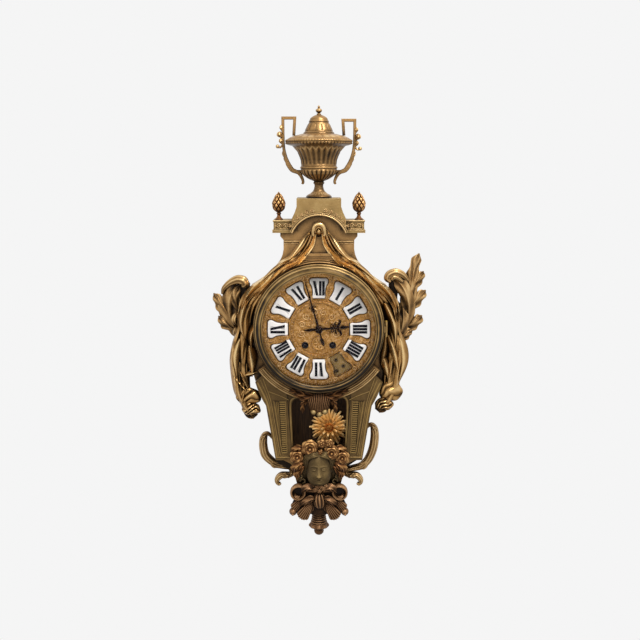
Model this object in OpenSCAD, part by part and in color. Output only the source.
// Cartel clock: a wall clock in a cast gilt bronze case, with a hinged glazed bezel,
// a spring driven striking movement and a pendulum seen between two tapered piers.
// Millimetres. X is the viewer's right, Y goes into the wall, Z is up.
// Every piece is drawn from the dial centre, with the wall at y = 0 and distances
// off the wall called d (d = -y). hung() then puts the origin at the hanging hole.

/* [Case] */
// distance of the case's flat front from the wall
case_depth = 84; // [80:1:100]
// thickness of the case sides
case_wall = 4; // [3:0.5:6]
// thickness of the case front
front_wall = 5; // [4:0.5:8]
// half width of the neck at its narrowest
neck_x = 66; // [60:1:72]
// height of the neck's flat top above the dial centre
cap_z = 179; // [175:1:186]
// room in the lower case below the middle of the bob
box_room = 46; // [44:1:60]
// height of the bracket under the lower case
bracket_h = 89; // [82:1:96]
// half width of the bracket under the lower case
bracket_x = 46; // [44:1:56]
// thickness of the back board
board_t = 3; // [2.5:0.5:4]

/* [Bezel and dial] */
// outer radius of the bezel
bezel_r = 121.5; // [118:0.5:126]
// depth of the bezel from back to front
bezel_depth = 20; // [19:0.5:26]
// thickness of the glass
glass_t = 2.2; // [1.8:0.1:3]
// thickness of the dial plate
dial_t = 3; // [2.5:0.1:4]
// inner radius of the ring of enamel plaques
plaque_in = 58.3; // [56:0.1:61]
// outer radius of the ring of enamel plaques
plaque_out = 95.5; // [92:0.1:99]
// half width of a plaque at its outer end
plaque_w = 17; // [15:0.1:19]
// how far a plaque stands above its pocket's floor
plaque_t = 2.2; // [1.8:0.1:2.8]
// sideways place of each winding square
wind_x = 26; // [25.5:0.1:28]
// winding squares below the dial centre
wind_z = 31; // [30:0.1:34]
// radius of the winding holes
wind_r = 5; // [4.6:0.1:5.6]
// length of the minute hand
minute_len = 98; // [90:1:102]
// length of the hour hand
hour_len = 60; // [54:1:66]
// angle of the minute hand past twelve
minute_at = -16; // [-40:1:40]
// angle of the hour hand past twelve
hour_at = 85; // [60:1:110]

/* [Movement] */
// radius of the movement plates
plate_r = 58; // [57:0.5:64]
// thickness of the movement plates
plate_t = 2.5; // [2:0.1:3]
// space between the movement plates
plate_gap = 39.5; // [39:0.1:42]
// space for the motion work between front plate and dial
motion_gap = 6.5; // [6.3:0.1:8]
// radius of the mainspring barrels
barrel_r = 18.5; // [16:0.1:19]
// radius of the bell's mouth
bell_r = 40; // [36:0.5:41]
// thickness of the bell
bell_t = 2; // [1.5:0.1:3]

/* [Pendulum] */
// distance from the suspension to the middle of the bob
pend_len = 260; // [250:1:268]
// lean of the pendulum to the right, as photographed
pend_lean = 4.5; // [0:0.1:6]
// radius of the sunflower bob
bob_r = 37; // [32:1:40]
// number of petals of the bob
petals = 20; // [14:1:24]

/* [Top] */
// radius of the arch's underside
arch_r = 53.4; // [50:0.1:56]
// thickness of the arch band
arch_band = 13; // [11:0.5:16]
// half width of the block that carries the urn
block_x = 41; // [36:1:46]
// height of that block above the arch's crown
block_h = 18; // [14:1:24]
// height of the two side plinths
plinth_h = 23; // [18:1:28]
// width of a side plinth
plinth_w = 34; // [30:1:40]
// height of a pine cone with its foot
cone_h = 52; // [46:1:60]
// largest radius of a pine cone
cone_r = 12.5; // [10:0.5:15]
// height of the urn's foot
foot_h = 31; // [27:1:36]
// height of the urn's bowl
bowl_h = 71; // [66:1:76]
// radius of the urn's rim
rim_r = 62; // [58:0.5:64]
// height of the urn's lid
lid_h = 50; // [46:1:56]
// height of the finial
finial_h = 17; // [14:1:22]
// width of the square handle bars
handle_w = 5; // [4:0.5:6]

/* [Ornament] */
// height of the drapery boss above the dial centre
boss_z = 192; // [188:1:194]
// radius of the drapery boss
boss_r = 12; // [10:0.5:13]
// height of the drapery folds off the case front
drape_h = 15; // [10:0.5:17]
// how far the left tail hangs below the right one
left_drop = 12; // [0:1:16]
// how far the left tail stands out beyond the right one
left_out = 10; // [0:1:14]
// thickness of an acanthus leaf
leaf_t = 5; // [4:0.5:8]
// how much higher the right lower scroll sits
scroll_rise = 14; // [0:1:20]
// thickness of the lower scrolls
scroll_r = 8; // [6:0.5:9]
// how far the piers stand in front of the case
pier_t = 16; // [12:0.5:18]
// width of the pendulum opening at its top
window_w = 110; // [104:1:114]
// how far the mask stands in front of the case
mask_h = 44; // [36:1:52]
// radius of the lip of the hanging bell drop
drop_r = 19.6; // [17:0.1:22]

/* [Hidden] */
$fn = 48;

// clearances: run for turning fits, air between bodies that pass, seat for pieces laid in
run = 0.05;
air = 0.3;
seat = 0.15;

// case, tied to the bezel
side_x = bezel_r + 10.5;
box_top_x = bezel_r - 19.5;
box_low_x = box_top_x - 17.5;
box_top_z = bezel_r + 28;
ring_r = bezel_r - 2;
hang_z = 165;
hang_r = 5;

// dial and bezel, from the wall outwards
dial_r = bezel_r - 12;
ring_front = case_depth + 22;
dial_face = ring_front - 2;
dial_back = dial_face - dial_t;
bezel_back = ring_front + 0.4;
bezel_front = bezel_back + bezel_depth;
glass_r = bezel_r - 13;
lip_r = glass_r - 2.5;
glass_front = bezel_front - 7;
hinge_x = bezel_r + 4;
hinge_d = ring_front - 1;
pocket_d = dial_face - 1.2;

// movement, from the dial back to the wall
fp_front = dial_back - motion_gap;
fp_back = fp_front - plate_t;
rp_front = fp_back - plate_gap;
rp_back = rp_front - plate_t;
pend_d = rp_back - 10;
arbor_r = 1.5;
pivot_r = 0.8;
stud_r = 1.2;

// trains: teeth, modules, and arbor places worked out from the centre distances
great_n = 80;
great_m = 0.6;
inter_n = 60;
inter_m = 0.65;
strike_m = 0.5;
third_m = 0.45;
centre_a = 22;
third_at = 117;
third_p = polar(centre_a, third_at);
escape_a = (72 + 6) * third_m / 2;
escape_z = third_p[1] + sqrt(escape_a * escape_a - third_p[0] * third_p[0]);
escape_r = 12;
vane_r = 12.2;
susp_z = escape_z + 16;
wind_p = [wind_x, -wind_z];
inter_a1 = (great_n + 12) * great_m / 2;
inter_a2 = (inter_n + 10) * inter_m / 2;
inter_p = meet(wind_p, inter_a1, [0, 0], inter_a2);
second_x = -wind_x - 8;
second_p = [second_x, sqrt(inter_a1 * inter_a1 - 64) - wind_z];
pin_a = (inter_n + 8) * strike_m / 2;
pin_p = second_p + polar(pin_a, 95);
fly_a = (64 + 6) * third_m / 2;
fly_p = pin_p + polar(fly_a, 60);
motion_m1 = 0.6;
motion_a = 24 * motion_m1;
motion_m2 = motion_a / 25;
motion_p = polar(motion_a, 40);
pillar_p = [[plate_r - 6, -14], [6 - plate_r, -14], [plate_r - 22, 40], [22 - plate_r, 40],
    [0, 4 - plate_r]];
feet_p = [[40, 32], [-40, 32], [47, -18], [-47, -18]];
bell_z = -6;
bell_mouth = pend_d - 8;
bell_room = 8;
bell_h = bell_mouth - board_t - bell_room;

// lower case, tied to the pendulum that swings in it
box_z = pend_len - susp_z + box_room;
bracket_z = box_z + bracket_h;

// top, from the neck upwards
arch_drop = 21;
arch_gap = 0.4;
arch_z = cap_z - arch_drop;
crown_z = arch_z + arch_r + arch_band;
block_z = crown_z + block_h;
bowl_z = block_z + foot_h;
lid_z = bowl_z + bowl_h;
finial_z = lid_z + lid_h;
urn_d = 62;
rod_r = 2.4;
plinth_in = arch_r - 3.4;
plinth_out = plinth_in + plinth_w;
plinth_z = cap_z + plinth_h;
cone_x = plinth_out - 9;

// point at a radius and an angle
function polar(r, a) = [r * cos(a), r * sin(a)];
// point on a curve with one control point
function bend(p, q, r, t) = p * (1 - t) * (1 - t) + q * 2 * t * (1 - t) + r * t * t;
// where two circles meet, on the right hand side of the line from the second to the first
function meet(p, rp, q, rq) =
    let (v = p - q, l = norm(v), u = v / l, a = (rq * rq - rp * rp + l * l) / (2 * l),
        h = sqrt(rq * rq - a * a))
    q + u * a + [-u[1], u[0]] * h;
// outline mirrored to the left half, keeping its turning sense
function both(right) = concat(right, [for (i = [len(right) - 1:-1:0]) [-right[i][0], right[i][1]]]);
// toothed outline with one tooth centred at angle 0
function teeth(n, m, add, ded, root, tip) =
    [for (i = [0:n - 1]) let (a = 360 * i / n, h = 180 / n, r = n * m / 2)
        each [polar(r - ded * m, a - h * root), polar(r + add * m, a - h * tip),
              polar(r + add * m, a + h * tip), polar(r - ded * m, a + h * root)]];
// slope of a path of [x, z, ...] stations at station i, as a unit vector
function heading(p, i) =
    let (a = p[max(0, i - 1)], b = p[min(len(p) - 1, i + 1)], v = [b[0] - a[0], b[1] - a[1]]) v / norm(v);
function mean(r) = [for (k = [0:2]) let (s = [for (p = r) p[k]]) s * [for (v = s) 1] / len(r)];

// flat shape of the front view, thick from d0 to d1 off the wall
module slab(d0, d1) {
    translate([0, -d0, 0]) rotate([90, 0, 0]) linear_extrude(d1 - d0) children();
}

// profile of [radius, d] turned about a line at x, z that runs into the wall
module turned(p) {
    translate([p[0], 0, p[1]]) rotate([90, 0, 0]) rotate_extrude() children();
}

// round bar or bore along such a line
module bar(p, r, d0, d1) {
    translate([p[0], -d0, p[1]]) rotate([90, 0, 0]) cylinder(r = r, h = d1 - d0);
}

// profile of [radius, height] turned about an upright line
module upright(x, d) {
    translate([x, -d, 0]) rotate_extrude() children();
}

// solid through a row of rings that all have the same number of points
module loft(rings) {
    n = len(rings[0]);
    m = len(rings);
    points = concat([for (r = rings) each r], [mean(rings[0])], [mean(rings[m - 1])]);
    sides = [for (i = [0:m - 2]) for (j = [0:n - 1])
        let (a = i * n + j, b = i * n + (j + 1) % n) each [[a, b, b + n], [a, b + n, a + n]]];
    first = [for (j = [0:n - 1]) [m * n, (j + 1) % n, j]];
    last = [for (j = [0:n - 1]) [m * n + 1, (m - 1) * n + j, (m - 1) * n + (j + 1) % n]];
    polyhedron(points, concat(sides, first, last));
}

// rounded lump with a flat back at d0, its top at d1
module lump(x, z, rx, rz, d0, d1) {
    hull() loft([for (a = [0, 30, 60, 85]) [for (t = [0:30:330])
        [x + rx * cos(a) * cos(t), -d0 - (d1 - d0) * sin(a), z + rz * cos(a) * sin(t)]]]);
}

// bar of oval section along stations of [x, z, radius], a little thicker off the wall
module curl(path, d) {
    loft([for (i = [0:len(path) - 1]) let (u = heading(path, i), r = path[i][2])
        [for (t = [0:36:324]) [path[i][0] - u[1] * r * cos(t), -d - 1.25 * r * sin(t),
        path[i][1] + u[0] * r * cos(t)]]]);
}

// wheel with teeth, turned so a tooth points along angle at
module wheel(p, n, m, d0, d1, at) {
    translate([p[0], 0, p[1]]) slab(d0, d1) rotate(at) polygon(teeth(n, m, 0.85, 1.2, 0.5, 0.14));
}

// pinion turned so a gap between two leaves points along angle at
module pinion(p, n, m, d0, d1, at) {
    translate([p[0], 0, p[1]]) slab(d0, d1) rotate(at + 180 / n) polygon(teeth(n, m, 0.45, 1.25, 0.46,
        0.16));
}

// arbor between the plates with its two pivots
module arbor(p) {
    bar(p, arbor_r, rp_front + air, fp_back - air);
    bar(p, pivot_r, rp_back + 0.5, fp_front - 0.5);
}

// arbor that is slim between d0 and d1, where a pinion of six leaves is cut into it
module slim_arbor(p, d0, d1) {
    bar(p, arbor_r, rp_front + air, d0);
    bar(p, arbor_r, d1, fp_back - air);
    bar(p, pivot_r, rp_back + 0.5, fp_front - 0.5);
}

function toward(p, q) = atan2(q[1] - p[1], q[0] - p[0]);

// moves a piece drawn from the dial centre so the origin is the hanging hole
module hung() {
    translate([0, board_t + 3, -hang_z]) children();
}

// leans the pendulum and its anchor about the suspension
module leaning() {
    translate([0, 0, susp_z]) rotate([0, -pend_lean, 0]) translate([0, 0, -susp_z]) children();
}

// outline of the case in the front view, right half from the top down
function case_right() = concat(
    [for (a = [90:-11.25:30]) [0, arch_z] + polar(arch_r - arch_gap, a)],
    [[sqrt(pow(arch_r - arch_gap, 2) - pow(arch_drop, 2)), cap_z], [neck_x + 6, cap_z],
    [neck_x + 6, cap_z - 7], [neck_x, cap_z - 14]],
    [for (t = [0:0.125:1]) bend([neck_x, 148], [neck_x + 4, bezel_r - 14], [side_x, 72], t)],
    [for (t = [0:0.125:1]) bend([side_x, -45], [side_x - 5, -110], [box_top_x, -box_top_z], t)],
    [[box_low_x, -box_z], [box_low_x - 10, -box_z - 5], [bracket_x + 10, -box_z - 14],
    [bracket_x + 3, -box_z - 22], [bracket_x, -box_z - 32], [bracket_x, -box_z - 44],
    [bracket_x - 12, -bracket_z]]);

module case_outline() {
    polygon(both(case_right()));
}

// pendulum opening with rounded shoulders
module window_shape() {
    w = window_w / 2;
    polygon(both(concat([for (a = [90:-15:0]) [w - 14, -box_top_z - 4] + polar(14, a)],
        [[w - 5, -box_z + 20]])));
}

// half width of the lower case at a depth below the dial centre
function box_side(z) = box_top_x - (box_top_x - box_low_x) * (z - box_top_z) / (box_z - box_top_z);

// places of the six screws of the back board
screw_z = box_z - 56;
screw_p = [for (s = [-1, 1])
    each [[s * (neck_x - 11), 150], [s * (side_x - 12), 30], [s * (box_side(screw_z) - 12), -screw_z]]];

module case_body() {
    color("#8a6d3b") difference() {
        union() {
            difference() {
                slab(0, case_depth) case_outline();
                slab(-1, case_depth - front_wall) offset(delta = -case_wall) case_outline();
            }
            slab(board_t, board_t + 9) intersection() {
                case_outline();
                for (p = screw_p) translate(p) circle(r = 10);
            }
            slab(case_depth, case_depth + pier_t) polygon(concat(
                [for (a = [-145:5:-35]) polar(ring_r + 21, a)],
                [for (a = [-35:-5:-145]) polar(ring_r + 1, a)]));
        }
        bar([0, 0], dial_r - 5.5, case_depth - front_wall - 1, case_depth + 1);
        slab(case_depth - front_wall - 1, case_depth + 1) window_shape();
        for (p = screw_p) bar(p, 1.5 + run, board_t - 1, board_t + 8);
    }
}

// oak board screwed into the back, with a slot open at its top for the wall hook
module back_board() {
    color("#5b4128") difference() {
        slab(0, board_t) offset(delta = -case_wall - 0.2) case_outline();
        translate([-hang_r - 5, -board_t - 1, hang_z - hang_r - 5]) cube([2 * hang_r + 10, board_t + 2, 60]);
        for (s = [-1, 1]) bar([s * 16, hang_z], 2 + run, -1, board_t + 1);
        for (p = screw_p) bar(p, 1.5 + run, -1, board_t + 1);
        for (p = screw_p) bar(p, 3.6, -1, 1.6);
    }
}

module board_screws() {
    color("#9a8a5a") for (p = screw_p) {
        bar(p, 3.5, 0.2, 1.6);
        bar(p, 1.5, 0.2, board_t + 7.5);
    }
}

module hanger_plate() {
    color("#6b6862") difference() {
        union() {
            translate([-22, -board_t - 3, hang_z - 12]) cube([44, 3, 24]);
            for (s = [-1, 1]) bar([s * 16, hang_z], 2, 0.2, board_t + 1);
        }
        bar([0, hang_z], hang_r, board_t - 1, board_t + 4);
    }
}

// tapered pier at the right of the pendulum opening, with a sunk strip and its frame
module pier_shape() {
    w = window_w / 2;
    polygon(concat([for (a = [-64:4:-40]) polar(ring_r + 21.3, a)],
        [for (t = [0.5:0.125:1]) bend([side_x, -45], [side_x - 5, -110], [box_top_x, -box_top_z],
        t) - [1, 0]],
        [[box_low_x - 1, -box_z - 2], [box_low_x - 14, -box_z - 2], [w - 3, -box_z + 5]]));
}

module pier() {
    x0 = window_w / 2 + 6;
    x1 = box_top_x - 14;
    difference() {
        slab(case_depth, case_depth + pier_t) pier_shape();
        slab(case_depth + pier_t - 3, case_depth + pier_t + 1) polygon([[x0 + 3, -box_top_z - 2],
            [x1 - 3, -box_top_z - 2], [box_low_x - 14, -box_z + 12], [x0, -box_z + 12]]);
    }
}

module pier_right() {
    color("#9a7b42") pier();
}

module pier_left() {
    color("#9a7b42") mirror([1, 0, 0]) pier();
}

// right shoulder that leads from the block down to the side plinth
module haunch() {
    polygon([[0, block_z - 45], [0, block_z - 14], [block_x, block_z - 15], [block_x + 3.3, block_z - 25],
        [plinth_in, block_z - 37], [plinth_in, block_z - 45]]);
}

// arch over the neck with the block that carries the urn
module pediment() {
    color("#a98c54") difference() {
        union() {
            slab(22, case_depth + 16) difference() {
                union() {
                    intersection() {
                        translate([0, arch_z]) circle(r = arch_r + arch_band);
                        translate([-plinth_in, cap_z]) square([2 * plinth_in, 200]);
                    }
                    translate([-block_x, crown_z - 4]) square([2 * block_x, block_h + 4]);
                    for (s = [0, 1]) mirror([s, 0]) haunch();
                }
                translate([0, arch_z]) circle(r = arch_r);
            }
        }
        translate([0, -urn_d, block_z - 16]) cylinder(r = rod_r + run, h = 20);
    }
}

// side plinth with a base ledge
module plinth() {
    slab(32, case_depth + 8) translate([plinth_in, cap_z]) square([plinth_w, plinth_h]);
    slab(30, case_depth + 11) translate([plinth_in, cap_z]) square([plinth_w + 2, 5]);
    slab(30, case_depth + 10) translate([plinth_in, plinth_z - 3]) square([plinth_w + 1, 3]);
}

module plinth_right() {
    color("#9a7b42") plinth();
}

module plinth_left() {
    color("#9a7b42") mirror([1, 0, 0]) plinth();
}

module pine_cones() {
    z = plinth_z;
    body = cone_h - 15;
    color("#b5793a") for (s = [-1, 1]) upright(s * cone_x, 68) polygon(concat(
        [[0, z], [8, z], [8, z + 2], [4, z + 5], [3, z + 9], [5, z + 13]],
        [for (t = [0.08:0.08:0.96]) [cone_r * pow(sin(180 * pow(t, 0.75)), 0.75), z + 13 + body * t]],
        [[0, z + cone_h]]));
}

module urn_foot() {
    z = block_z;
    color("#9a7b42") difference() {
        upright(0, urn_d) polygon([[0, z], [24, z], [24, z + 3], [21, z + 6], [12, z + 11], [10, z + 14],
            [8, z + foot_h - 6], [10, z + foot_h - 3], [10, z + foot_h], [0, z + foot_h]]);
        translate([0, -urn_d, z - 1]) cylinder(r = rod_r + run, h = foot_h + 2);
    }
}

module urn_bowl() {
    z = bowl_z;
    h = bowl_h;
    color("#8a6d3b") upright(0, urn_d) polygon([[rod_r + run, z], [10, z], [24.5, z + 8], [31, z + 13],
        [34.2, z + 20], [33.5, z + 26], [32.7, z + 30], [36.5, z + 0.65 * h], [rim_r - 14.4, z + h - 7],
        [rim_r - 1, z + h - 2], [rim_r, z + h], [rim_r - 20, z + h], [rim_r - 28, z + h - 12],
        [27, z + 30], [28, z + 20], [20, z + 9], [rod_r + run, z + 5]]);
}

module urn_lid() {
    z = lid_z;
    h = lid_h;
    color("#9a7b42") upright(0, urn_d) polygon([[rim_r - 18, z], [rim_r - 0.5, z], [rim_r - 1, z + 3],
        [rim_r - 13.5, z + 11], [28, z + 16], [25.3, z + 22], [17.6, z + h - 13.5], [17, z + h - 8],
        [9, z + h - 2], [5, z + h], [rod_r + run, z + h], [rod_r + run, z + h - 5], [12, z + h - 11],
        [20, z + 20], [26, z + 12]]);
}

// finial with the long tie rod that clamps lid, bowl and foot to the block
module urn_finial() {
    z = finial_z;
    h = finial_h;
    color("#b08a4a") upright(0, urn_d) polygon([[0, block_z - 15], [rod_r, block_z - 15], [rod_r, z],
        [4, z], [4, z + 1.5], [2, z + 3], [5.5, z + 5], [6, z + 7.5], [5, z + 10], [1.5, z + 12],
        [2.5, z + 14], [0, z + h]]);
}

// square bar bent to a key pattern corner at the top and swept in to the bowl
module handle() {
    w = handle_w / 2;
    top = lid_z + 40;
    inner = rim_r - 15.5;
    low = lid_z + 11.05 + 5 * (2 + w) / (rim_r - 41.5);
    path = [[30, bowl_z - 2], [39.4, bowl_z + 16], [46.9, bowl_z + 25], [58, bowl_z + 43],
        [rim_r + 2, bowl_z + bowl_h - 13], [rim_r + 4, bowl_z + bowl_h], [rim_r + 4.5, top],
        [inner - 2, top], [inner, low]];
    translate([0, -urn_d + w, 0]) rotate([90, 0, 0]) linear_extrude(2 * w) union() {
        for (i = [0:len(path) - 2]) let (a = path[i], b = path[i + 1], l = norm(b - a))
            translate(a) rotate(atan2(b[1] - a[1], b[0] - a[0])) translate([i > 0 ? -w : 0, -w])
                square([l + (i > 0 ? w : 0) + (i < len(path) - 2 ? w : 0), 2 * w]);
        translate([34.4, bowl_z + 17]) square([8, 6]);
    }
}

module handle_right() {
    color("#8a6d3b") handle();
}

module handle_left() {
    color("#8a6d3b") mirror([1, 0, 0]) handle();
}

module drapery_boss() {
    d = case_depth;
    color("#8a6d3b") turned([0, boss_z]) polygon([[0, d], [boss_r, d], [boss_r, d + 5], [boss_r - 2, d + 8],
        [boss_r - 4, d + 8], [boss_r - 5, d + 10], [boss_r - 7, d + 14], [0, d + 16]]);
}

// stations of a drapery from the boss, round the bezel and down to the knotted tail
// each is an angle round the dial, a gap outside the bezel and a width
drape_k = [[71, 2.5, 26], [62, 2.5, 24], [54, 2.5, 24], [46, 2.5, 26], [38, 2.5, 28], [28, 2.5, 30],
    [18, 3, 29], [8, 4, 27], [-2, 6, 27], [-11, 10, 33], [-20, 14, 38], [-27, 20, 37], [-34, 29, 35],
    [-40, 41, 32], [-46, 54, 27], [-50, 57, 28], [-53, 62, 26], [-55.5, 71, 12]];
function drape_path(out, drop) = concat([[11, boss_z - 12, 12], [22, boss_z - 33, 22]],
    [for (k = drape_k) let (p = polar(bezel_r + k[1] + k[2] / 2, k[0]), f = min(1, max(0, (-2 - k[0]) / 30)))
        [p[0] + out * f, p[1] - drop * f, k[2]]]);

// height of the folds across the cloth, t from -1 to 1
function fold(t) = 3 + (drape_h - 4) * sqrt(1 - t * t) * (0.78 + 0.22 * cos(720 * t));

module drapery(out, drop) {
    path = drape_path(out, drop);
    d = case_depth;
    loft([for (i = [0:len(path) - 1])
        let (u = heading(path, i), c = [path[i][0], path[i][1]], w = [u[1], -u[0]] * path[i][2] / 2)
            concat([for (t = [-1:0.125:1]) let (q = c + w * t) [q[0], -d - fold(t), q[1]]],
                [for (t = [1, -1]) let (q = c + w * t) [q[0], -d, q[1]]])]);
}

module drapery_right() {
    color("#8a6d3b") drapery(0, 0);
}

module drapery_left() {
    color("#8a6d3b") mirror([1, 0, 0]) drapery(left_out, left_drop);
}

// acanthus leaf through stations of [inner x, inner z, outer x, outer z], measured from the case side
module leaf(stations, d0) {
    n = len(stations) - 1;
    loft([for (i = [0:n]) let (s = stations[i], f = i / n, base = d0 + 10 * sin(150 * f))
        concat([for (v = [0:0.2:1]) [side_x + s[0] + (s[2] - s[0]) * v,
            -base - leaf_t - 7 * f * (1 - f) * 4 * sin(180 * v),
                    s[1] + (s[3] - s[1]) * v]],
            [for (v = [1:-0.2:0]) [side_x + s[0] + (s[2] - s[0]) * v,
            -base - 7 * f * (1 - f) * 4 * sin(180 * v),
                    s[1] + (s[3] - s[1]) * v]])]);
}

module leaf_right() {
    color("#8a6d3b") {
        leaf([[0, 14, 0, -14], [8, 12, 14, -14], [16, 20, 40, -4], [20, 30, 65, 14], [24, 42, 58, 30],
            [26, 52, 62, 44], [27, 60, 73, 67], [31, 76, 58, 84], [36, 92, 67, 101], [40, 105, 56, 112],
            [45, 120, 58, 127], [55, 139, 58, 141]], 56);
    }
}

module leaf_left() {
    color("#b5793a") mirror([1, 0, 0]) leaf([[0, 14, 0, -14], [8, 12, 16, -14], [14, 22, 40, -12],
        [16, 34, 46, 12], [15, 46, 48, 28], [13, 58, 54, 42], [12, 72, 60, 54], [14, 84, 66, 61],
        [22, 90, 62, 66], [34, 88, 56, 72], [44, 82, 52, 74]], 56);
}

// palmette with curled ends and three berries under the dial
module shell() {
    d = case_depth + pier_t;
    z = -ring_r - 3;
    color("#b08a4a") union() {
        lump(0, z - 17, 17, 15, d, d + 15);
        for (s = [-1, 1]) {
            lump(s * 15, z - 13, 14, 10, d, d + 13);
            lump(s * 27, z - 9, 13, 7, d, d + 11);
            lump(s * 39, z - 5, 10, 5, d, d + 9);
            lump(s * 24, z - 26, 14, 8, d, d + 12);
            lump(s * 34, z - 33, 8, 7, d, d + 10);
        }
        lump(0, z - 34, 9, 14, d, d + 12);
        for (s = [-1, 0, 1]) lump(s * 9, z - 45 - (1 - abs(s)) * 4, 6, 6, d, d + 11);
    }
}

// double curved scroll beside the bracket: a tall curl, a turn at the bracket and a low hook
module scroll(rise) {
    x = bracket_x;
    o = box_low_x - 38.5;
    m = (x + o) / 2;
    z = -box_z;
    r = scroll_r;
    curl([[o + 57, z + 45 + rise, 0.3 * r], [o + 62, z + 34 + rise, 0.7 * r], [o + 65, z + 17 + rise, r],
        [o + 62, z - 2 + 0.8 * rise, r], [o + 52, z - 20 + 0.5 * rise, r],
        [m + 38, z - 30 + 0.3 * rise, 0.9 * r], [x + 22, z - 33, 0.85 * r], [x + 11, z - 35, 0.8 * r],
        [x + 0.8 * r + 0.1, z - 41, 0.8 * r], [x + 11, z - 48, 0.8 * r], [x + 22, z - 50, 0.85 * r],
        [x + 34, z - 53, 0.9 * r], [x + 43, z - 60, 0.8 * r], [x + 45, z - 67, 0.5 * r],
        [x + 42, z - 71, 0.3 * r]], 58);
}

module scroll_right() {
    color("#9a7b42") scroll(scroll_rise);
}

module scroll_left() {
    color("#9a7b42") mirror([1, 0, 0]) scroll(0);
}

// classical head with a wreath of roses, one casting
module mask() {
    d = case_depth;
    z = -box_z - 14;
    color("#5e4c2f") union() {
        lump(0, z - 6, 29, 33, d, d + mask_h - 10);
        lump(0, z - 12, 21, 26, d, d + mask_h);
        lump(0, z + 18, 40, 25, d, d + mask_h - 8);
        lump(-16, z + 37, 17, 17, d + pier_t, d + pier_t + 22);
        lump(18, z + 33, 17, 16, d + pier_t, d + pier_t + 22);
        for (s = [-1, 1]) {
            lump(s * 36, z + 20, 12, 14, d + pier_t + air, d + pier_t + 16);
            lump(s * 41, z + 2, 13, 15, d + pier_t + air, d + pier_t + 14);
            lump(s * 37, z - 20, 11, 15, d, d + 20);
            lump(s * 30, z - 33, 10, 9, d, d + 18);
        }
        translate([-36, -d - pier_t - 8, z - 10]) cube([72, 7, 30]);
    }
}

// volutes, leaves, ribbed bud and berries under the mask, one casting
module pendant_cluster() {
    d = case_depth;
    z = -bracket_z;
    color("#9a7b42") union() {
        lump(0, z + 6, 15, 20, d, d + 24);
        lump(0, z + 20, 26, 12, d, d + 18);
        for (s = [-1, 1]) {
            lump(s * 44, z + 16, 14, 16, d, d + 14);
            lump(s * 30, z + 8, 16, 14, d, d + 14);
            lump(s * 26, z - 16, 13, 19, d, d + 12);
            lump(s * 37, z - 10, 15, 16, d, d + 10);
            lump(s * 49, z - 20, 6, 6, d, d + 8);
        }
    }
}

// ribbed bell with a ball at its end
module pendant_drop() {
    z = -bracket_z;
    color("#9a7b42") upright(0, case_depth - 12) polygon([[0, z], [8, z], [6, z - 9], [9, z - 18],
        [11, z - 27], [10.5, z - 38], [13, z - 49], [drop_r - 1, z - 55.5], [drop_r, z - 57.5],
        [8, z - 60], [6, z - 61.5], [9, z - 65], [9.5, z - 68], [7, z - 73], [3, z - 76.5], [0, z - 77]]);
}

// fixed ring that carries the dial and the bezel's hinge
module dial_ring() {
    d = case_depth;
    color("#a07c40") difference() {
        union() {
            turned([0, 0]) polygon([[dial_r - 5.5, d], [ring_r, d], [ring_r, ring_front],
                [dial_r + seat, ring_front], [dial_r + seat, dial_back], [dial_r - 5.5, dial_back]]);
            for (z = [-14, 6]) translate([0, 0, z]) {
                translate([ring_r - 2.5, -hinge_d - 1, 0]) cube([hinge_x - ring_r + 2.5, 4, 8]);
                translate([hinge_x, -hinge_d, 0]) cylinder(r = 3.2, h = 8);
            }
        }
        translate([hinge_x, -hinge_d, -20]) cylinder(r = 1.5 + run, h = 40);
    }
}

// one plaque: straight foot, waisted sides and a wide lobed head
function plaque(grow) = let (w = plaque_w + grow, i = plaque_in - grow, o = plaque_out + grow, h = o - i)
    both([[w * 0.66, i], [w * 0.7, i + 0.1 * h], [w * 0.66, i + 0.28 * h], [w * 0.74, i + 0.56 * h],
        [w * 0.94, i + 0.74 * h], [w, i + 0.84 * h], [w * 0.97, i + 0.93 * h], [w * 0.8, o]]);

module plaque_at(hour, grow) {
    rotate(-30 * hour) polygon(plaque(grow));
}

module dial_plate() {
    color("#b8863f") difference() {
        union() {
            bar([0, 0], dial_r, dial_back, dial_face);
            turned([0, 0]) polygon([[48, dial_face - 1], [54, dial_face - 1], [53, dial_face + 1.4],
                [49, dial_face + 1.4]]);
            bar([0, -27.7], 14, dial_face - 1, dial_face + 1);
            for (p = feet_p) bar(p, 2.5, fp_front, dial_back + 1);
        }
        bar([0, 0], 4.4, dial_back - 1, dial_face + 3);
        for (s = [-1, 1]) bar([s * wind_x, -wind_z], wind_r, dial_back - 1, dial_face + 3);
        bar([0, 55], 2, dial_back - 1, dial_face + 3);
        for (hour = [1:12]) slab(pocket_d, dial_face + 3) plaque_at(hour, seat);
        for (p = [[32, -59.5], [46, -71], [34, -80.5]]) bar(p, 1.2, dial_back - 1, dial_face);
    }
}

// eleven enamel plaques; the one for five o'clock is missing
module enamel_plaques() {
    color("#efe9e6") for (hour = [1:12]) if (hour != 5) slab(pocket_d,
        pocket_d + plaque_t) plaque_at(hour, 0);
}

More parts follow.
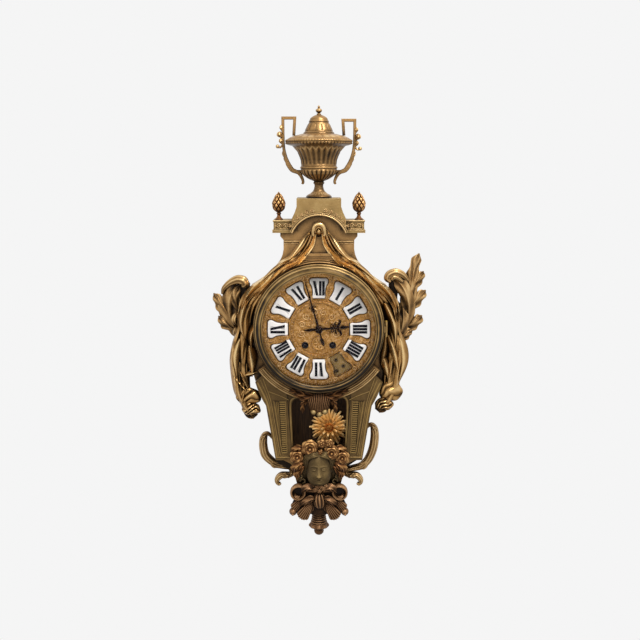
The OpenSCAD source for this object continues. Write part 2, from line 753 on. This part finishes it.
module bezel() {
    b = bezel_back;
    f = bezel_front;
    color("#a07c40") difference() {
        union() {
            turned([0, 0]) polygon([[glass_r + 0.1, b], [bezel_r - 1, b], [bezel_r, b + 2],
                [bezel_r, b + 7], [bezel_r - 2, b + 9], [bezel_r - 2, b + 12], [bezel_r - 5, f - 4],
                [bezel_r - 9, f], [bezel_r - 12, f - 1], [glass_r, f - 4], [lip_r, f - 5.5],
                [lip_r, glass_front + 0.1], [glass_r + 0.1, glass_front + 0.1]]);
            translate([bezel_r - 2.4, -b - 3.4, -5.7]) cube([hinge_x - bezel_r + 2.4, 3, 11.4]);
            translate([hinge_x, -hinge_d, -5.7]) cylinder(r = 3.2, h = 11.4);
        }
        translate([hinge_x, -hinge_d, -20]) cylinder(r = 1.5 + run, h = 40);
    }
}

module glass() {
    color("#dfe8e6", 0.25) bar([0, 0], glass_r, glass_front - glass_t, glass_front);
}

module hinge_pin() {
    color("#9a8a5a") union() {
        translate([hinge_x, -hinge_d, -15.5]) cylinder(r = 1.5, h = 31);
        translate([hinge_x, -hinge_d, 14.3]) cylinder(r = 2.6, h = 2);
    }
}

hour_d = dial_face + 4;
minute_d = dial_face + 7;

// slim hand with a cross shaped fleuron and a pointed tail
module hour_hand() {
    l = hour_len;
    color("#2a1c18") difference() {
        slab(hour_d, hour_d + 1.2) rotate(-hour_at) union() {
            circle(r = 6.5);
            polygon(both([[0.2, l], [2.4, l - 8], [1.3, l - 16], [8, l - 21], [15, l - 18],
                [16, l - 26], [9, l - 31], [1.4, l - 27], [1.7, 0], [2.4, -20], [0.2, -30]]));
        }
        bar([0, 0], 3.9 + run, hour_d - 1, hour_d + 3);
    }
}

// long slim hand with a lobed tail
module minute_hand() {
    l = minute_len;
    color("#2a1c18") difference() {
        slab(minute_d, minute_d + 1) rotate(-minute_at) union() {
            circle(r = 5.5);
            polygon(both([[0.2, l], [1, l - 28], [2.2, l - 34], [1.2, l - 40], [1.3, 32], [3, 20],
                [1.7, 0], [1.2, -18], [4.5, -26], [0.2, -33]]));
        }
        bar([0, 0], 2.05 + run, minute_d - 1, minute_d + 2);
    }
}

module hand_collet() {
    d = minute_d + 1.1;
    color("#3a2a20") turned([0, 0]) polygon([[0, d], [7, d], [7, d + 1], [5.5, d + 2.4], [3, d + 3],
        [0, d + 3.4]]);
}

function mirrored(p) = [-p[0], p[1]];

module front_plate() {
    color("#c9a455") difference() {
        union() {
            bar([0, 0], plate_r, fp_back, fp_front);
            for (p = pillar_p) bar(p, 3.2, rp_front, fp_back + 1);
            bar(motion_p, stud_r, fp_back, fp_front + 5.4);
        }
        bar([0, 0], arbor_r + run, fp_back - 1, fp_front + 1);
        for (p = [inter_p, third_p, [0, escape_z], [0, susp_z], second_p, pin_p, fly_p])
            bar(p, pivot_r + run, fp_back - 1, fp_front + 1);
        for (p = [wind_p, mirrored(wind_p)]) bar(p, 3 + run, fp_back - 1, fp_front + 1);
    }
}

hammer_p = [-40, -34];

module rear_plate() {
    color("#c9a455") difference() {
        union() {
            bar([0, 0], plate_r, rp_back, rp_front);
            bar(hammer_p, stud_r, bell_mouth - 8, rp_back + 1);
        }
        for (p = [[0, 0], inter_p, third_p, [0, escape_z], second_p, pin_p, fly_p])
            bar(p, pivot_r + run, rp_back - 1, rp_front + 1);
        bar([0, susp_z], arbor_r + run, rp_back - 1, rp_front + 1);
        for (p = [wind_p, mirrored(wind_p)]) bar(p, 2 + run, rp_back - 1, rp_front + 1);
    }
}

module cannon_pinion() {
    color("#c9a455") difference() {
        union() {
            pinion([0, 0], 12, motion_m1, fp_front + 0.5, fp_front + 2.6, toward([0, 0], motion_p));
            bar([0, 0], 2.6, fp_front + 0.5, minute_d - 0.1);
            bar([0, 0], 2.05, minute_d - 1, minute_d + 1);
        }
        bar([0, 0], arbor_r + run, fp_front, minute_d - 1);
    }
}

module minute_wheel() {
    color("#c9a455") difference() {
        union() {
            wheel(motion_p, 36, motion_m1, fp_front + 0.7, fp_front + 2.2, toward(motion_p, [0, 0]));
            pinion(motion_p, 10, motion_m2, fp_front + 2.2, fp_front + 5, toward(motion_p, [0, 0]));
        }
        bar(motion_p, stud_r + run, fp_front, fp_front + 6);
    }
}

module hour_wheel() {
    color("#c9a455") difference() {
        union() {
            wheel([0, 0], 40, motion_m2, fp_front + 3, fp_front + 4.6, toward([0, 0], motion_p));
            bar([0, 0], 3.9, fp_front + 3, hour_d + 1.2);
        }
        bar([0, 0], 2.6 + 2 * run, fp_front, hour_d + 3);
    }
}

module centre_wheel() {
    color("#c9a455") union() {
        bar([0, 0], arbor_r, rp_front + air, minute_d - 1.5);
        bar([0, 0], pivot_r, rp_back + 0.5, rp_front + 1);
        wheel([0, 0], 80, 0.5, rp_front + 11.5, rp_front + 13.5, third_at);
        pinion([0, 0], 10, inter_m, fp_back - 4.5, fp_back - 1.2, toward([0, 0], inter_p));
    }
}

module intermediate_wheel() {
    color("#c9a455") union() {
        arbor(inter_p);
        wheel(inter_p, inter_n, inter_m, fp_back - 3.8, fp_back - 2, toward(inter_p, [0, 0]));
        pinion(inter_p, 12, great_m, fp_back - 8.7, fp_back - 4.5, toward(inter_p, wind_p));
    }
}

// mainspring barrel with the great wheel, bored for its winding arbor
module barrel(p, at) {
    difference() {
        union() {
            wheel(p, great_n, great_m, fp_back - 8, fp_back - 5, at);
            bar(p, barrel_r, rp_front + 5, fp_back - 7.5);
        }
        bar(p, 3 + run, rp_front, fp_back);
        turned(p) translate([5, rp_front + 7]) square([barrel_r - 6.5, plate_gap - 17]);
    }
}

// winding arbor with a ratchet wheel and a square for the key
module winder(p) {
    bar(p, 3, rp_front + air, fp_front + 3);
    bar(p, 2, rp_back + 0.2, rp_front + 1);
    translate([p[0], 0, p[1]]) slab(fp_front + 0.5, fp_front + 2) polygon(
        [for (i = [0:23]) each [polar(7, 15 * i), polar(8.2, 15 * i + 11)]]);
    translate([p[0] - 2, -dial_face - 4, p[1] - 2]) cube([4, dial_face + 2 - fp_front, 4]);
}

module going_barrel() {
    color("#c9a455") barrel(wind_p, toward(wind_p, inter_p));
}

module going_arbor() {
    color("#8d8a84") winder(wind_p);
}

module strike_barrel() {
    color("#c9a455") barrel(mirrored(wind_p), toward(mirrored(wind_p), second_p));
}

module strike_arbor() {
    color("#8d8a84") winder(mirrored(wind_p));
}

module third_wheel() {
    color("#c9a455") union() {
        arbor(third_p);
        pinion(third_p, 8, 0.5, rp_front + 10.5, rp_front + 14.5, third_at + 180);
        wheel(third_p, 72, third_m, rp_front + 19.5, rp_front + 21.1, toward(third_p, [0, escape_z]));
    }
}

module escape_wheel() {
    p = [0, escape_z];
    color("#c9a455") union() {
        slim_arbor(p, rp_front + 18.5, rp_front + 22.5);
        pinion(p, 6, third_m, rp_front + 18.5, rp_front + 22.5, toward(p, third_p));
        translate([p[0], 0, p[1]]) slab(rp_front + 26.8, rp_front + 29.8) polygon(
            [for (i = [0:29]) each
            [polar(escape_r - 2, 12 * i), polar(escape_r, 12 * i + 7), polar(escape_r, 12 * i + 8)]]);
    }
}

// anchor with its two pallets, and the crutch whose fork takes the pendulum rod
module anchor() {
    p = [0, susp_z];
    color("#8d8a84") leaning() union() {
        bar(p, arbor_r, rp_back - 6.6, fp_back - air);
        bar(p, pivot_r, fp_back - 1, fp_front - 0.5);
        translate([0, 0, susp_z]) slab(rp_front + 27, rp_front + 29.5) polygon(both([[3.4, 2.6],
            [15, -4], [15, -11.5], [13.2, -10], [12.6, -5], [2.6, -0.8]]));
        translate([-1.5, -rp_back + 4, susp_z - 44]) cube([3, 2, 44]);
        for (x = [-3.6, 2.1]) translate([x, -rp_back + 4, susp_z - 44]) cube([1.5, 9, 4]);
        translate([-3.6, -rp_back + 4, susp_z - 44]) cube([7.2, 2, 4]);
    }
}

// bridge behind the rear plate with the pin the pendulum hangs on
module suspension_cock() {
    z = susp_z - 6;
    color("#c9a455") union() {
        for (x = [-17, 9]) translate([x, -rp_back, z]) cube([8, 18, 10]);
        translate([-17, -rp_back + 13.9, z]) cube([34, 5, 10]);
        bar([0, susp_z], stud_r, rp_back - 15, rp_back - 7);
    }
}

// eye, suspension spring and rod
module pendulum_rod() {
    end = susp_z - pend_len - bob_r - 14;
    color("#a8a49c") leaning() difference() {
        union() {
            bar([0, susp_z], 3.4, pend_d - 1.8, pend_d + 1.8);
            translate([-2.5, -pend_d - 0.3, susp_z - 24]) cube([5, 0.6, 22]);
            translate([-1.8, -pend_d - 1.4, end + 20]) cube([3.6, 2.8, susp_z - 22 - end - 20]);
            translate([0, -pend_d, end]) cylinder(r = 1.4, h = 22);
        }
        bar([0, susp_z], stud_r + run, pend_d - 3, pend_d + 3);
    }
}

// sunflower bob: two rows of petals round a domed middle, slotted for the rod
module pendulum_bob() {
    z = susp_z - pend_len;
    n = 6 * petals;
    color("#c98f45") leaning() difference() {
        translate([0, 0, z]) union() {
            slab(pend_d - 5, pend_d + 4) polygon([for (i = [0:n - 1])
                polar(bob_r * (0.9 + 0.1 * cos(360 * i * petals / n)), 360 * i / n)]);
            slab(pend_d + 3, pend_d + 7) polygon([for (i = [0:n - 1])
                polar(bob_r * (0.7 + 0.08 * cos(360 * i * petals / n + 180)), 360 * i / n)]);
            turned([0, 0]) polygon([[0, pend_d + 6], [0.42 * bob_r, pend_d + 6], [0.42 * bob_r, pend_d + 9],
                [0.3 * bob_r, pend_d + 12], [0, pend_d + 14]]);
        }
        translate([-1.8 - seat, -pend_d - 1.4 - seat, z - bob_r - 2]) cube(
            [3.6 + 2 * seat, 2.8 + 2 * seat, 2 * bob_r + 4]);
    }
}

module rating_nut() {
    z = susp_z - pend_len - bob_r - 6;
    color("#c9a455") leaning() difference() {
        translate([0, -pend_d, z]) cylinder(r = 4.5, h = 5);
        translate([0, -pend_d, z - 1]) cylinder(r = 1.4 + run, h = 7);
    }
}

module second_wheel() {
    color("#c9a455") union() {
        arbor(second_p);
        wheel(second_p, inter_n, strike_m, fp_back - 3.8, fp_back - 2, toward(second_p, pin_p));
        pinion(second_p, 12, great_m, fp_back - 8.7, fp_back - 4.5, toward(second_p, mirrored(wind_p)));
    }
}

// wheel whose pins lift the hammer
module pin_wheel() {
    color("#c9a455") union() {
        arbor(pin_p);
        pinion(pin_p, 8, strike_m, fp_back - 4.5, fp_back - 1.2, toward(pin_p, second_p));
        wheel(pin_p, 64, third_m, rp_front + 5.5, rp_front + 7.1, toward(pin_p, fly_p));
        for (a = [0:36:324]) bar(pin_p + polar(11, a), 0.8, rp_front + 3, rp_front + 6);
    }
}

// two heavy vanes that steady the speed of the strike
module fly() {
    color("#c9a455") union() {
        slim_arbor(fly_p, rp_front + 4.5, rp_front + 8.5);
        pinion(fly_p, 6, third_m, rp_front + 4.5, rp_front + 8.5, toward(fly_p, pin_p));
        translate([fly_p[0] - vane_r, -rp_front - 36, fly_p[1] - 1.5]) cube([2 * vane_r, 14, 3]);
    }
}

module hammer() {
    d = bell_mouth - 5;
    h = [-bell_r - bell_t - 4.6, bell_z];
    l = norm(h - hammer_p);
    color("#8d8a84") difference() {
        union() {
            bar(hammer_p, 3.2, d - 2, d + 4);
            translate([hammer_p[0], 0, hammer_p[1]]) slab(d, d + 2) rotate(toward(hammer_p,
                h)) translate([0, -1.2]) square([l, 2.4]);
            bar(h, 4, d - 2, d + 4);
        }
        bar(hammer_p, stud_r + run, d - 3, d + 5);
    }
}

module bell() {
    d = bell_mouth;
    o = bell_r + bell_t;
    color("#b9a06a") turned([0, bell_z]) polygon(concat(
        [for (a = [0:10:80]) [o * cos(a), d - bell_h * sin(a)]], [[3, d - bell_h],
        [3, d - bell_h + bell_t]],
        [for (a = [80:-10:0]) [bell_r * cos(a), d - (bell_h - bell_t) * sin(a)]]));
}

// post, arm and rod that hold the bell behind the pendulum
module bell_stand() {
    d = bell_mouth;
    color("#c9a455") union() {
        bar([33, bell_z], 3.5, d + 0.9, rp_back);
        translate([-3.5, -d - 3.6, bell_z - 3]) cube([36.5, 2.7, 6]);
        bar([0, bell_z], 4.5, d - bell_h + bell_t + 0.1, d + 1.5);
        bar([0, bell_z], 2.95, d - bell_h - 1.5, d);
        bar([0, bell_z], 4.5, d - bell_h - 3.5, d - bell_h - 0.1);
    }
}

hung() case_body();
hung() back_board();
hung() board_screws();
hung() hanger_plate();
hung() pier_left();
hung() pier_right();
hung() pediment();
hung() plinth_left();
hung() plinth_right();
hung() pine_cones();
hung() urn_foot();
hung() urn_bowl();
hung() urn_lid();
hung() urn_finial();
hung() handle_left();
hung() handle_right();
hung() drapery_boss();
hung() drapery_left();
hung() drapery_right();
hung() leaf_left();
hung() leaf_right();
hung() shell();
hung() scroll_left();
hung() scroll_right();
hung() mask();
hung() pendant_cluster();
hung() pendant_drop();
hung() dial_ring();
hung() dial_plate();
hung() enamel_plaques();
hung() bezel();
hung() glass();
hung() hinge_pin();
hung() minute_hand();
hung() hour_hand();
hung() hand_collet();
hung() front_plate();
hung() rear_plate();
hung() cannon_pinion();
hung() minute_wheel();
hung() hour_wheel();
hung() centre_wheel();
hung() intermediate_wheel();
hung() going_barrel();
hung() going_arbor();
hung() third_wheel();
hung() escape_wheel();
hung() anchor();
hung() suspension_cock();
hung() pendulum_rod();
hung() pendulum_bob();
hung() rating_nut();
hung() strike_barrel();
hung() strike_arbor();
hung() second_wheel();
hung() pin_wheel();
hung() fly();
hung() hammer();
hung() bell();
hung() bell_stand();
